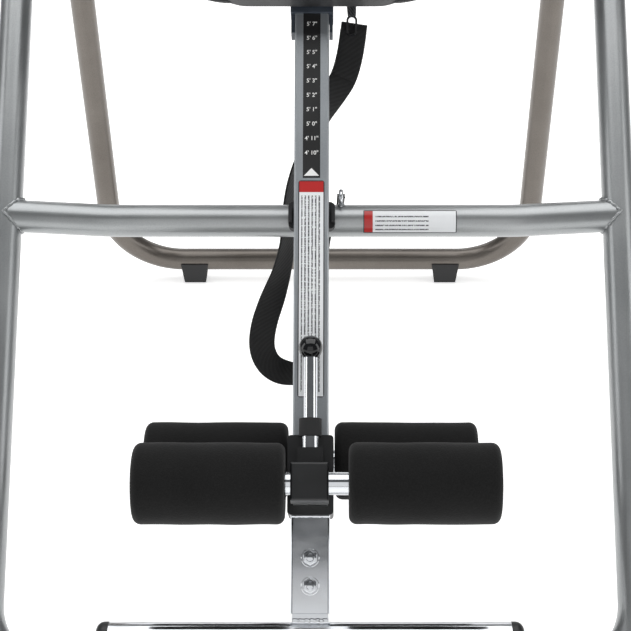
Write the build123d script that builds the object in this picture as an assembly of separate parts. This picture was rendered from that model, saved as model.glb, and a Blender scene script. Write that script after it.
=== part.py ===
from build123d import *
import math
import os

# Inversion table, millimetres, +Z up. X runs across the machine, the foot end
# faces -Y, and the origin is on the floor under the middle of the whole machine.

# Stand: two U frames of round tube, hinged together through the top brackets.
tube_od = 38.0
rear_tube_od = 36.0
tube_wall = 1.5
leg_spacing = 725.0
rear_spacing = 700.0
front_base_y = -568.0
rear_base_y = 569.0
foot_height = 20.0
front_lean = 50.0
rear_lean = 71.0
front_leg_length = 1130.0
front_bend = 80.0
rear_bend = 118.0
base_splice = 225.0
crossbar_z = 449.0
crossbar_bow = 16.0
crossbar_bend_x = 238.0

# Rear frame hinge and top brackets.
hinge_z = 878.0
plate = 4.0
inner_plate_x = 331.5
outer_plate_x = 381.7
leg_bolt_r = 5.0
hinge_bolt_r = 6.0

# Bed: lies parallel to the front legs, resting on the crossbar bumper.
bed_lean = 52.0
bumper_gap = 6.0
boom_w, boom_h, boom_wall = 40.0, 30.0, 2.0
main_w, main_h = 50.0, 40.0
pivot_s, pivot_h = 534.0, -70.0
pivot_pin_r = 6.0
arm_x, arm_t = 306.0, 6.0
running_gap = 0.06
free_gap = 0.4
slide_gap = 0.35
weld_gap = 0.06
foot_x = 213.0
shaft_half = 187.0

# Ankle lock and foot rest.
roller_r, roller_length, shaft_r = 44.5, 163.0, 12.5
front_shaft_s, front_shaft_h = -321.0, 66.0
rear_shaft_s, rear_shaft_h = -282.0, -50.0
front_left_x, front_right_x, rear_inner_x = -26.5, 42.0, 26.5
clamp_bar = 38.0
pin_h = 33.0
foot_bar_r, foot_bar_length, foot_bar_s = 16.0, 440.0, -481.5

# Folding braces between the legs.
brace_z, brace_length, brace_w, brace_t = 715.0, 169.5, 20.0, 4.0
fold_degrees = 50.0

os.makedirs("parts", exist_ok=True)
nodes = {}


def keep(name, *solids):
    """Store a node as its separate solids."""
    found = [s for shape in solids for s in shape.solids()]
    nodes[name] = found[0] if len(found) == 1 else Compound(children=found)


def mirrored(shape):
    return mirror(shape, about=Plane.YZ)


def box(x, s, h):
    """Box from three (low, high) pairs."""
    size = [pair[1] - pair[0] for pair in (x, s, h)]
    middle = [(pair[1] + pair[0]) / 2 for pair in (x, s, h)]
    return Pos(*middle) * Box(*size)


def rod(start, end, radius, bore=0.0):
    """Straight round bar or tube between two points."""
    a, b = Vector(*start), Vector(*end)
    ring = Plane(origin=a, z_dir=b - a) * Circle(radius)
    bar = extrude(ring, amount=(b - a).length)
    if bore:
        bar -= extrude(Plane(origin=a, z_dir=b - a) * Circle(bore), amount=(b - a).length)
    return bar


def bent_tube(points, radius, od, wall=0.0):
    """Tube along straight runs joined by tangent arcs."""
    path = FilletPolyline(*points, radius=radius)
    face = Circle(od / 2) - Circle(od / 2 - wall) if wall else Circle(od / 2)
    return sweep(Plane(origin=path @ 0, z_dir=path % 0) * face, path=path)


def front_axis(z):
    """Y of the front leg axis at a height."""
    return front_base_y + (z - foot_height - tube_od / 2) / math.tan(math.radians(front_lean))


def rear_axis(z):
    """Y of the rear leg axis at a height."""
    return rear_base_y - (z - foot_height - rear_tube_od / 2) / math.tan(math.radians(rear_lean))


# Working planes: local X is across, local Y runs up the leg or the boom.
sin_f, cos_f = math.sin(math.radians(front_lean)), math.cos(math.radians(front_lean))
sin_r, cos_r = math.sin(math.radians(rear_lean)), math.cos(math.radians(rear_lean))
sin_b, cos_b = math.sin(math.radians(bed_lean)), math.cos(math.radians(bed_lean))
front_plane = Plane((0, front_base_y, foot_height + tube_od / 2), (1, 0, 0), (0, -sin_f, cos_f))
rear_plane = Plane((0, rear_base_y, foot_height + rear_tube_od / 2), (1, 0, 0), (0, -sin_r, -cos_r))
crossbar_y = front_axis(crossbar_z)
bar_to_boom = tube_od / 2 + bumper_gap + boom_h / 2
bed_y0 = crossbar_y - crossbar_bow - sin_b * bar_to_boom
bed_z0 = crossbar_z + cos_b * bar_to_boom
bed_plane = Plane((0, bed_y0, bed_z0), (1, 0, 0), (0, -sin_b, cos_b))


def bed_point(x, s, h):
    """World point from across, up the boom, and out towards the user."""
    return (x, bed_y0 + s * cos_b - h * sin_b, bed_z0 + s * sin_b + h * cos_b)


def on_bed(shape):
    return bed_plane.location * shape


pivot = bed_point(0, pivot_s, pivot_h)
hinge = (0, rear_axis(hinge_z), hinge_z)


def side_plate(outline, x, thickness, round_r=12.0):
    """Flat plate in a YZ plane with rounded corners, from x towards +X."""
    face = Plane((x, 0, 0), (0, 1, 0), (1, 0, 0)) * Polygon(*outline, align=None)
    face = fillet(face.vertices(), round_r)
    return extrude(face, amount=thickness)


def hex_bolt(x_head, x_tip, y, z, radius, direction=1):
    """Bolt along X with a hexagon head and a nut, heads outside x_head and x_tip."""
    head_r, head_t = radius * 1.75, radius * 1.2
    shank = rod((x_head, y, z), (x_tip + direction * head_t * 1.4, y, z), radius)
    face = RegularPolygon(head_r, 6)
    head = extrude(Plane((x_head - direction * head_t, y, z), (0, 1, 0), (direction, 0, 0)) * face, head_t)
    nut = extrude(Plane((x_tip, y, z), (0, 1, 0), (direction, 0, 0)) * face, head_t)
    return shank + head + nut


def make_front_frame():
    half, up = leg_spacing / 2, front_leg_length
    leg = bent_tube([(base_splice, 0), (half, 0), (half, up)], front_bend, tube_od, tube_wall)
    leg = front_plane.location * leg
    for y, z in leg_bolts:
        leg -= rod((half - 30, y, z), (half + 30, y, z), leg_bolt_r + 0.2)
    leg -= rod((half - 30, *brace_front), (half, *brace_front), 4.2)
    keep("front_leg_right", leg)
    keep("front_leg_left", mirrored(leg))
    base_z = foot_height + tube_od / 2
    base = rod((-base_splice, front_base_y, base_z), (base_splice, front_base_y, base_z),
               tube_od / 2, tube_od / 2 - tube_wall)
    keep("front_base_tube", base)
    ends = [(-half, crossbar_y, crossbar_z), (-crossbar_bend_x, crossbar_y - crossbar_bow, crossbar_z),
            (crossbar_bend_x, crossbar_y - crossbar_bow, crossbar_z), (half, crossbar_y, crossbar_z)]
    bar = bent_tube(ends, 160, tube_od, tube_wall)
    for side in (-1, 1):
        core = rod((side * half, 0, -60), (side * half, up + 60, -60), tube_od / 2 + weld_gap)
        bar -= front_plane.location * Pos(0, 0, 60) * core
    bar = max(bar.solids(), key=lambda s: s.volume)
    bar -= rod((hook_x, crossbar_y - crossbar_bow, crossbar_z),
               (hook_x, crossbar_y - crossbar_bow, crossbar_z + 30), 3.6)
    keep("crossbar", bar)


def rubber_foot(x, y, od):
    """Moulded foot that hugs the underside of a base tube."""
    top = Pos(x, y, foot_height + od * 0.45) * Rectangle(46, od + 6)
    body = loft([Pos(x, y, 0) * Rectangle(36, 30), top])
    body = fillet(body.edges().filter_by_position(Axis.Z, -0.1, 0.1), 3)
    return body - rod((x - 40, y, foot_height + od / 2), (x + 40, y, foot_height + od / 2), od / 2 + 0.02)


def make_feet():
    feet = [rubber_foot(side * foot_x, front_base_y, tube_od) for side in (-1, 1)]
    keep("front_feet", *feet)
    feet = [rubber_foot(side * foot_x, rear_base_y, rear_tube_od) for side in (-1, 1)]
    keep("rear_feet", *feet)


def make_rear_frame():
    half = rear_spacing / 2
    up = (hinge_z - foot_height - rear_tube_od / 2) / sin_r + 20
    leg = bent_tube([(base_splice, 0), (half, 0), (half, up)], rear_bend, rear_tube_od, tube_wall)
    leg = rear_plane.location * leg
    leg -= rod((half - 30, hinge[1], hinge_z), (half + 30, hinge[1], hinge_z), 9.05)
    leg -= rod((half - 30, *brace_rear), (half, *brace_rear), 4.2)
    keep("rear_leg_right", leg)
    keep("rear_leg_left", mirrored(leg))
    base_z = foot_height + rear_tube_od / 2
    keep("rear_base_tube", rod((-base_splice, rear_base_y, base_z), (base_splice, rear_base_y, base_z),
                               rear_tube_od / 2, rear_tube_od / 2 - tube_wall))
    bush_ends = [(half + side * 18, hinge[1], hinge_z) for side in (-1, 1)]
    bush = rod(*bush_ends, 9.0, hinge_bolt_r + running_gap)
    keep("rear_hinge_bushes", bush, mirrored(bush))
    plug = rod((half, up - 12, 0), (half, up + 2, 0), rear_tube_od / 2 - tube_wall - 0.05)
    plug = rear_plane.location * plug
    plug -= rod((half - 30, hinge[1], hinge_z), (half + 30, hinge[1], hinge_z), 9.2)
    keep("rear_leg_plugs", plug, mirrored(plug))


def make_top_brackets():
    outline = [(56, 818), (84, 792), (272, 838), (310, 862), (310, 908), (292, 922), (150, 938), (112, 922)]
    inner = side_plate(outline, inner_plate_x - plate, plate)
    inner -= rod((300, pivot[1], pivot[2]), (340, pivot[1], pivot[2]), 9.1)
    outer = side_plate(outline, outer_plate_x, plate)
    web = box((inner_plate_x - plate, outer_plate_x + plate), (228, 288), (918, 922))
    bracket = inner + outer + web
    for y, z in leg_bolts:
        bracket -= rod((300, y, z), (400, y, z), leg_bolt_r + 0.2)
    bracket -= rod((300, hinge[1], hinge_z), (400, hinge[1], hinge_z), hinge_bolt_r + 0.1)
    keep("top_brackets", bracket, mirrored(bracket))
    x_in, x_out = inner_plate_x - plate, outer_plate_x + plate
    bolts = [hex_bolt(x_out, x_in, y, z, leg_bolt_r, -1) for y, z in leg_bolts]
    leg_inner = leg_spacing / 2 - tube_od / 2
    tubes = [rod((inner_plate_x, y, z), (leg_inner - 0.05, y, z), 9, leg_bolt_r + 0.2) for y, z in leg_bolts]
    pin = hex_bolt(x_out, x_in, hinge[1], hinge_z, hinge_bolt_r, -1)
    rear_outer = rear_spacing / 2 + 18
    spacer_end = rear_outer + free_gap
    spacer = rod((spacer_end, hinge[1], hinge_z), (outer_plate_x, hinge[1], hinge_z), 10, hinge_bolt_r + 0.1)
    right_side = [*bolts, *tubes, pin, spacer]
    keep("bracket_bolts", *right_side, *[mirrored(piece) for piece in right_side])
    bush = rod((322, pivot[1], pivot[2]), (334, pivot[1], pivot[2]), 9)
    bush += rod((322, pivot[1], pivot[2]), (x_in, pivot[1], pivot[2]), 14)
    bush -= rod((320, pivot[1], pivot[2]), (336, pivot[1], pivot[2]), pivot_pin_r + running_gap)
    keep("pivot_bushes", bush, mirrored(bush))


def make_handlebars():
    x = leg_spacing / 2
    leg_z = 852.0
    lower = (x, front_axis(leg_z), leg_z)
    knee = (x, front_axis(952.0), 952.0)
    upper, tip = (x, 152.0, 1180.0), (x, -70.0, 1306.0)
    bar = bent_tube([lower, knee, upper, tip], 78, 32, 1.5)
    bolt_hole = rod((x - 30, *leg_bolts[1]), (x + 30, *leg_bolts[1]), leg_bolt_r + 0.2)
    bar -= bolt_hole
    run = Vector(*tip) - Vector(*upper)
    unit = run / run.length
    grip_end, grip_start = Vector(*tip) - unit * 2, Vector(*tip) - unit * 150
    grip = rod(tuple(grip_start), tuple(grip_end), 19.5, 16.02)
    cap = rod((0, 0, 0), (0, 0, 9), 19)
    cap = fillet(cap.edges().group_by(Axis.Z)[-1], 5) + rod((0, 0, -14), (0, 0, 0), 14.45)
    cap = Plane(tip, (1, 0, 0), unit).location * cap
    keep("handlebars", bar, mirrored(bar))
    keep("handle_grips", grip, mirrored(grip))
    keep("handle_end_caps", cap, mirrored(cap))


def make_braces():
    """Folding braces: one stud on each leg, two flat links per side."""
    f_y, r_y = brace_front[0], brace_rear[0]
    leg_inner = leg_spacing / 2 - tube_od / 2
    stud = rod((313, *brace_front), (leg_inner + 8, *brace_front), 4)
    stud += rod((311, *brace_front), (313, *brace_front), 7)
    collar = rod((326, *brace_front), (leg_inner - 0.6, *brace_front), 7)
    keep("brace_studs_front", stud + collar, mirrored(stud + collar))
    rear_inner = rear_spacing / 2 - rear_tube_od / 2
    stud = rod((311, *brace_rear), (rear_inner + 8, *brace_rear), 4)
    stud += rod((309, *brace_rear), (311, *brace_rear), 7)
    collar = rod((319.5, *brace_rear), (rear_inner - 0.6, *brace_rear), 7)
    keep("brace_studs_rear", stud + collar, mirrored(stud + collar))

    def link(a, b, x, hole_a, hole_b):
        run = Vector(0, b[0] - a[0], b[1] - a[1])
        flat = SlotCenterToCenter(run.length, brace_w)
        face = Plane((x, (a[0] + b[0]) / 2, (a[1] + b[1]) / 2), run, (1, 0, 0)) * flat
        bar = extrude(face, brace_t)
        for point, r in ((a, hole_a), (b, hole_b)):
            bar -= rod((x - 1, *point), (x + brace_t + 1, *point), r)
        return bar

    front = link(brace_front, brace_middle, 321.0, 4 + running_gap, 4.1)
    rear = link(brace_rear, brace_middle, 314.0, 4 + running_gap, 5.0)
    keep("brace_rear_links", rear, mirrored(rear))
    rivet = rod((319.2, *brace_middle), (325, *brace_middle), 4)
    rivet += rod((325, *brace_middle), (327, *brace_middle), 7)
    rivet += rod((319.2, *brace_middle), (321.0, *brace_middle), 7)
    keep("brace_front_links", front + rivet, mirrored(front + rivet))


def make_crossbar_fittings():
    y, z = crossbar_y - crossbar_bow, crossbar_z
    top_h = -boom_h / 2 - slide_gap
    saddle = box((-27, 27), (-16, 16), (-bar_to_boom, top_h))
    saddle = fillet(saddle.edges().filter_by(Axis.Z), 6)
    saddle = on_bed(saddle)
    saddle -= rod((-60, y, z), (60, y, z), tube_od / 2 + 0.02)
    saddle = max(saddle.solids(), key=lambda s: s.volume)
    lips = on_bed(box((23, 27), (-9, 9), (top_h, -boom_h / 2 + 9)))
    keep("crossbar_bumper", saddle + lips + mirrored(lips))
    top = z + tube_od / 2
    stem = rod((hook_x, y, top - 8), (hook_x, y, top + 4), 3)
    ring = Pos(hook_x, y, top + 10.5) * (Rot(0, 90, 0) * Torus(7.5, 2.5))
    keep("strap_hook", stem + ring)
    mid = FilletPolyline(*strap_route, radius=strap_radii)
    tube = sweep(Plane(origin=mid @ 0, z_dir=mid % 0) * Circle(strap_tube_r), path=mid)
    print("strap length", round(mid.length, 1), "radii", [round(r) for r in strap_radii])
    print("strap volume ratio", tube.volume / (math.pi * strap_tube_r ** 2 * mid.length))
    keep("tether_strap", tube)


def make_bed_frame():
    s0, s1 = 247.0, 1250.0
    main = box((-main_w / 2, main_w / 2), (s0, s1), (-main_h / 2, main_h / 2))
    main -= box((-main_w / 2 + 2, main_w / 2 - 2), (s0 - 1, s1 + 1), (-main_h / 2 + 2, main_h / 2 - 2))
    main += rod((0, height_pin_s, -34), (0, height_pin_s, -main_h / 2), 9)
    main -= rod((0, height_pin_s, -35), (0, height_pin_s, -10), 5.0)
    keep("bed_main_tube", on_bed(main))
    plug = box((-23, 23), (s1 - 12, s1), (-18, 18)) + box((-25, 25), (s1, s1 + 4), (-20, 20))
    keep("main_tube_plug", on_bed(plug))
    half_w, half_h = boom_w / 2 + free_gap, boom_h / 2 + free_gap
    slot = box((-half_w, half_w), (200, 320), (-half_h, half_h))
    collar = box((-25, 25), (236.5, s0), (-20, 20)) + box((-22.9, 22.9), (s0, s0 + 45), (-17.9, 17.9))
    for side in (-1, 1):
        x = sorted((side * 20.4, side * 24.4))
        collar += box(x, (214, 236.5), (-12, 12))
    collar = (collar - slot) - rod((0, height_pin_s, -30), (0, height_pin_s, -10), 5.0)
    keep("boom_collar", on_bed(collar))
    drills = [on_bed(rod((x, s, -20), (x, s, 21), 3.2)) for x, s in screw_spots()]
    tubes = {}
    for s, reach in ((pivot_s, arm_x), (upper_cross_s, 185), (lower_cross_s, 165)):
        half = box((main_w / 2, reach), (s - 12.5, s + 12.5), (-10, 20))
        half -= box((main_w / 2 - 1, reach + 1), (s - 10.5, s + 10.5), (-8, 18))
        tubes[s] = [on_bed(half) - drills, mirrored(on_bed(half)) - drills]
    eye = Pos(44, lower_cross_s, -16) * (Rot(90, 0, 0) * Torus(7, 2))
    eye = on_bed(eye - box((30, 60), (300, 330), (-9.99, 30)))
    keep("pivot_cross_tube", *tubes[pivot_s])
    keep("bed_cross_tubes", *tubes[upper_cross_s], tubes[lower_cross_s][0] + eye, tubes[lower_cross_s][1])


def make_pivot_arms():
    face = make_hull([*(Pos(pivot_s, pivot_h) * Circle(20)).edges(),
                      *(Pos(pivot_s, 2) * Rectangle(64, 36)).edges()])
    arm = extrude(Plane((arm_x, 0, 0), (0, 1, 0), (1, 0, 0)) * face, arm_t)
    for h in (pivot_h, -42, -20):
        arm -= rod((arm_x - 1, pivot_s, h), (arm_x + arm_t + 1, pivot_s, h), pivot_pin_r + 0.1)
    gusset_face = Polygon((arm_x - 46, -10), (arm_x, -10), (arm_x, -52), (arm_x - 6, -52), align=None)
    arm += extrude(Plane((0, pivot_s - 2, 0), (1, 0, 0), (0, -1, 0)) * gusset_face, -4)
    keep("pivot_arms", on_bed(arm), mirrored(on_bed(arm)))
    pin = rod((arm_x - 6, pivot_s, pivot_h), (arm_x, pivot_s, pivot_h), 10)
    pin += rod((arm_x, pivot_s, pivot_h), (339, pivot_s, pivot_h), pivot_pin_r)
    washer = rod((arm_x + arm_t, pivot_s, pivot_h), (321.4, pivot_s, pivot_h), 13, pivot_pin_r + 0.1)
    keep("pivot_pins", on_bed(pin), mirrored(on_bed(pin)))
    keep("pivot_washers", on_bed(washer), mirrored(on_bed(washer)))


def rounded_slab(half_x, s, h, corner):
    face = Pos(0, (s[0] + s[1]) / 2, h[0]) * RectangleRounded(2 * half_x, s[1] - s[0], corner)
    return extrude(face, amount=h[1] - h[0], dir=(0, 0, 1))


def make_backrest():
    keep("backrest_board", on_bed(rounded_slab(205, (247, 1326), (20, 30), 112) - make_screw_holes()))
    pad = rounded_slab(215, (243, 1334), (30, 72), 120)
    pad = fillet(pad.edges().group_by(Axis.Z)[-1], 16)
    keep("backrest_pad", on_bed(pad))
    cushion = rounded_slab(130, (1176, 1296), (72, 104), 30)
    cushion = fillet(cushion.edges().group_by(Axis.Z)[-1], 13)
    keep("head_cushion", on_bed(cushion))
    screws = []
    for x, s in screw_spots():
        shank = rod((x, s, -12), (x, s, 26), 3)
        screws.append(on_bed(shank + rod((x, s, -16), (x, s, -10), 5.5)))
    keep("bed_screws", *screws)


def screw_spots():
    rows = ((pivot_s, 170), (upper_cross_s, 150), (lower_cross_s, 135))
    return [(side * x, s) for s, x in rows for side in (-1, 1)]


def make_screw_holes():
    holes = [rod((x, s, 10), (x, s, 26.5), 3.2) for x, s in screw_spots()]
    return holes[0] + holes[1:]


def make_strap_anchor():
    """Twin cord loop from the welded eye, and the snap hook on it."""
    cords = [bent_tube([(41, 316, -15), (40, 300, -21), (43, 275, -24), (45, 251, -26)], 6, 3.0),
             bent_tube([(47, 316, -15), (50, 300, -21), (50, 275, -24), (49, 251, -26)], 6, 3.0)]
    keep("anchor_cords", *[on_bed(c) for c in cords])
    ring = Pos(47, 237, -27) * (RectangleRounded(13, 26, 6) - RectangleRounded(8, 21, 3.9))
    keep("strap_carabiner", on_bed(extrude(ring, amount=3, both=False)))


def make_height_pin():
    s = height_pin_s
    pin = rod((0, s, -54), (0, s, -boom_h / 2 - 0.6), 5.0 - running_gap) + rod((0, s, -60), (0, s, -54), 7)
    keep("height_pin", on_bed(pin))
    knob = rod((0, s, -82), (0, s, -36), 14) - rod((0, s, -61), (0, s, -35), 10)
    knob += rod((0, s, -61), (0, s, -56), 10) - rod((0, s, -61), (0, s, -53), 7 + running_gap)
    keep("height_pin_knob", on_bed(fillet(knob.edges().group_by(Axis.Z)[0], 6)))


def make_boom():
    s0, s1 = -299.0, 640.0
    boom = box((-boom_w / 2, boom_w / 2), (s0, s1), (-boom_h / 2, boom_h / 2))
    boom = fillet(boom.edges().filter_by(Axis.Y), 3)
    boom -= box((-boom_w / 2 + boom_wall, boom_w / 2 - boom_wall), (s0 - 1, s1 + 1),
                (-boom_h / 2 + boom_wall, boom_h / 2 - boom_wall))
    for step in range(20):
        boom -= rod((0, 40 + 17.5 * step, -20), (0, 40 + 17.5 * step, -10), 5.2)
    keep("boom_tube", on_bed(boom))
    glide = box((-22.6, 22.6), (s1, s1 + 6), (-17.6, 17.6)) + box((-17.9, 17.9), (s1 - 20, s1), (-12.9, 12.9))
    keep("boom_glide", on_bed(glide))


def make_ankle_housing():
    bar = clamp_bar / 2 + free_gap
    shaft = rod((-40, rear_shaft_s, rear_shaft_h), (40, rear_shaft_s, rear_shaft_h), shaft_r + 0.02)
    sleeve = box((-25.5, 25.5), (-350, -262), (-40, 20))
    sleeve = fillet(sleeve.edges().filter_by(Axis.Z), 4)
    sleeve += box((-25.5, 25.5), (-300, -262), (-67, -40)) + box((-14, 14), (-300, -279), (19, 46))
    sleeve -= box((-20.02, 20.02), (-299, -261), (-15.02, 15.02))
    sleeve -= box((-bar, bar), (front_shaft_s - bar, front_shaft_s + bar), (-80, 60))
    sleeve -= rod((0, -302, pin_h), (0, -278, pin_h), 6.2)
    keep("ankle_housing", on_bed(sleeve - shaft))
    ends = [(side * shaft_half, rear_shaft_s, rear_shaft_h) for side in (-1, 1)]
    tube = rod(*ends, shaft_r, shaft_r - tube_wall)
    keep("rear_roller_shaft", on_bed(tube))
    barrel = rod((0, -279, pin_h), (0, -266, pin_h), 10, 6.2)
    keep("lock_pin_barrel", on_bed(barrel))


def make_ankle_clamp():
    half = clamp_bar / 2
    s = (front_shaft_s - half, front_shaft_s + half)
    bar = box((-half, half), s, (-60, 50)) - box((-half + 2, half - 2), (s[0] + 2, s[1] - 2), (-61, 51))
    keep("clamp_bar", on_bed(bar))
    head = box((-20.5, 20.5), (s[0] - 1.5, s[1] + 1.5), (50, 88))
    head = fillet(head.edges().group_by(Axis.Z)[-1], 2.5)
    head -= rod((-30, front_shaft_s, front_shaft_h), (30, front_shaft_s, front_shaft_h), shaft_r + 0.02)
    keep("clamp_head", on_bed(head))
    ends = [(side * shaft_half, front_shaft_s, front_shaft_h) for side in (-1, 1)]
    tube = rod(*ends, shaft_r, shaft_r - tube_wall)
    keep("front_roller_shaft", on_bed(tube))
    plug = box((-half + 2.05, half - 2.05), (s[0] + 2.05, s[1] - 2.05), (-58, -46))
    plug += box((-half, half), s, (-63, -60)) + box((-12, 12), (s[0] + 8, s[1] - 8), (-60, -58))
    keep("clamp_bar_plug", on_bed(plug))


def make_lock_pin():
    shank = rod((0, -300.4, pin_h), (0, -262, pin_h), 6.2 - running_gap)
    keep("lock_pin_sleeve", on_bed(rod((0, -265.4, pin_h), (0, -246, pin_h), 12.5)
                                   - rod((0, -266, pin_h), (0, -261.9, pin_h), 6.16)))
    keep("lock_pin", on_bed(shank), on_bed(rod((0, -246, pin_h), (0, -177.4, pin_h), 7.5)))
    ball = Pos(0, -166, pin_h) * Sphere(13.5)
    keep("lock_ball", on_bed(ball - box((-14, 14), (-190, -177.4), (10, 60))))


def make_rollers():
    spots = (("front_roller_right", front_right_x, 1, front_shaft_s, front_shaft_h),
             ("front_roller_left", front_left_x, -1, front_shaft_s, front_shaft_h),
             ("rear_roller_right", rear_inner_x, 1, rear_shaft_s, rear_shaft_h),
             ("rear_roller_left", -rear_inner_x, -1, rear_shaft_s, rear_shaft_h))
    for name, x, side, s, h in spots:
        far = x + side * roller_length
        foam = fillet(rod((x, s, h), (far, s, h), roller_r).edges(), 9)
        foam -= rod((x - side, s, h), (far + side, s, h), shaft_r + 3.0)
        core = rod((x, s, h), (far - side, s, h), shaft_r + 3.0, shaft_r + running_gap)
        disc = rod((far - side * 1.0, s, h), (far + side * 0.5, s, h), shaft_r + 7)
        core_end = disc & rod((far - side, s, h), (far + side * 0.5, s, h), shaft_r + 3.0)
        keep(name, on_bed(foam), on_bed(core + core_end))


def make_foot_rest():
    post = box((-21.75, 21.75), (-457, -350), (-10, 15))
    post = fillet(post.edges().filter_by(Axis.Y), 3)
    post -= box((-19.75, 19.75), (-458, -349), (-8, 13))
    for s in foot_bolts:
        post -= rod((0, s, -20), (0, s, 20), 5.2)
    keep("foot_post", on_bed(post))
    tab = box((-19.7, 19.7), (-474, -380), (-6, 9))
    ends = [(side * foot_bar_length / 2, foot_bar_s, 0) for side in (-1, 1)]
    bar = rod(*ends, foot_bar_r, foot_bar_r - tube_wall)
    tab -= rod((-30, foot_bar_s, 0), (30, foot_bar_s, 0), foot_bar_r - 1)
    for s in foot_bolts:
        tab -= rod((0, s, -20), (0, s, 20), 5.2)
    keep("foot_bar", on_bed(tab + bar))
    caps = []
    for side in (-1, 1):
        end = side * foot_bar_length / 2
        cap = rod((end, foot_bar_s, 0), (end + side * 14, foot_bar_s, 0), foot_bar_r + 0.6)
        cap = fillet(cap.edges().group_by(Axis.X)[-1 if side > 0 else 0], 10)
        neck = rod((end - side * 12, foot_bar_s, 0), (end, foot_bar_s, 0), foot_bar_r - 1.6)
        caps.append(on_bed(cap + neck))
    keep("foot_bar_caps", *caps)
    bolts = []
    for s in foot_bolts:
        head = Pos(0, s, 15) * extrude(RegularPolygon(8.5, 6), 6.5)
        nut = Pos(0, s, -17) * extrude(RegularPolygon(8.5, 6), 7)
        bolts.append(on_bed(head + nut + rod((0, s, -20), (0, s, 16), 5)))
    keep("foot_bolts", *bolts)


leg_bolts = [(front_axis(814), 814), (front_axis(892), 892)]
brace_front = (front_axis(brace_z), brace_z)
brace_rear = (rear_axis(brace_z), brace_z)
half_span = (brace_rear[0] - brace_front[0]) / 2
brace_drop = math.sqrt(brace_length ** 2 - half_span ** 2)
brace_middle = (brace_front[0] + half_span, brace_z - brace_drop)
hook_x = 34.0
height_pin_s = 267.5
upper_cross_s, lower_cross_s = 1100.0, 318.0
foot_bolts = (-397.0, -427.5)
strap_tube_r = 4.0
strap_route = [(48, -108, 629), (44, -122, 598), (24, -138, 567), (0, -157, 527), (-20, -178, 490),
               (-29, -193, 452), (-30, -196, 412), (-36, -194, 370), (-50, -190, 325), (-63, -188, 285),
               (-66, -188, 248), (-52, -190, 222), (-22, -192, 213), (4, -194, 228), (14, -197, 262),
               (16, -200, 305), (19, -201, 350), (18, -204, 395), (26, -209, 440), (35, -222, 470)]
runs = [(Vector(*b) - Vector(*a)) for a, b in zip(strap_route, strap_route[1:])]
strap_radii = [0.45 * min(p.length, q.length) / math.tan(math.radians(p.get_angle(q)) / 2)
               for p, q in zip(runs, runs[1:])]

make_front_frame()
make_rear_frame()
make_feet()
make_top_brackets()
make_handlebars()
make_braces()
make_crossbar_fittings()
make_bed_frame()
make_pivot_arms()
make_backrest()
make_strap_anchor()
make_height_pin()
make_boom()
make_ankle_housing()
make_ankle_clamp()
make_lock_pin()
make_rollers()
make_foot_rest()


def brace_angles(fold):
    """Front link and rear link angles, degrees, with the rear frame folded."""
    a = math.radians(fold)
    y, z = brace_rear[0] - hinge[1], brace_z - hinge_z
    end = (hinge[1] + y * math.cos(a) - z * math.sin(a), hinge_z + y * math.sin(a) + z * math.cos(a))
    chord = (end[0] - brace_front[0], end[1] - brace_front[1])
    span = math.hypot(*chord)
    front = math.degrees(math.atan2(chord[1], chord[0]) - math.acos(span / 2 / brace_length))
    rear = 180 + math.degrees(math.atan2(chord[1], chord[0]) + math.acos(span / 2 / brace_length))
    return front, rear


rest, folded = brace_angles(0), brace_angles(-fold_degrees)
front_ratio = (folded[0] - rest[0]) / -fold_degrees
rear_ratio = (folded[1] - rest[1] + fold_degrees) / -fold_degrees
print("brace ratios", front_ratio, rear_ratio)
everything = Compound(children=[shape.moved(Location()) for shape in nodes.values()])
bounds = everything.bounding_box()
print("bounds", bounds.min, bounds.max)
for name, shape in nodes.items():
    export_step(shape, f"parts/{name}.step")
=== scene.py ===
import math
import bmesh
import bpy
from mathutils import Matrix, Vector, noise


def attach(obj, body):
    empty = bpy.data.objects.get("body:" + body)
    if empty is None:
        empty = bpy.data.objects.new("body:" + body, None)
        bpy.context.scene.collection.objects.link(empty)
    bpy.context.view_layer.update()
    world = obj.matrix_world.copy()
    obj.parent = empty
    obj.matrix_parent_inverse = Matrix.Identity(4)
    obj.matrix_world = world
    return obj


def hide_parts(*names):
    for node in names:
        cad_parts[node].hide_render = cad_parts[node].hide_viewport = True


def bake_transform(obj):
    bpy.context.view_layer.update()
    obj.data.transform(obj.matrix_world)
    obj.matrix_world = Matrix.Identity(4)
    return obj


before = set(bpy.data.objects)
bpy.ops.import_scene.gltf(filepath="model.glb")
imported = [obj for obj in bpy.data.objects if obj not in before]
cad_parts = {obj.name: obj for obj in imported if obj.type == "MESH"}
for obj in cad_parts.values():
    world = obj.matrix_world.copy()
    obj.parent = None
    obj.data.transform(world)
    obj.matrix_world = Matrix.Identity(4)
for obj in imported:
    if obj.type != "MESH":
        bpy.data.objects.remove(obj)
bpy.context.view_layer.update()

# ---------------------------------------------------------------- studio
# A white paper sweep under the machine, a broad soft box over it, and four weaker
# ones: behind the camera, on each side and at the back, which draw the long
# streaks on the tubes.
floor_white, paper_glow = "#fbfbfa", 0.60


def linear(code):
    """The linear colour of an sRGB hex value."""
    parts = [int(code[i:i + 2], 16) / 255 for i in (1, 3, 5)]
    return tuple(c / 12.92 if c <= 0.04045 else ((c + 0.055) / 1.055) ** 2.4 for c in parts) + (1.0,)


def node(tree, kind, feeds=None, stops=(), **settings):
    """Adds one node with its settings; feeds maps its inputs to values or to other nodes' outputs."""
    made = tree.nodes.new("ShaderNode" + kind)
    for number, (place, code) in enumerate(stops):
        stop = made.color_ramp.elements[number]
        stop.position, stop.color = place, linear(code)
    for name, value in settings.items():
        setattr(made, name, value)
    for socket, value in (feeds or {}).items():
        if isinstance(value, bpy.types.NodeSocket):
            tree.links.new(value, made.inputs[socket])
        else:
            made.inputs[socket].default_value = value
    return made


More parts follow.
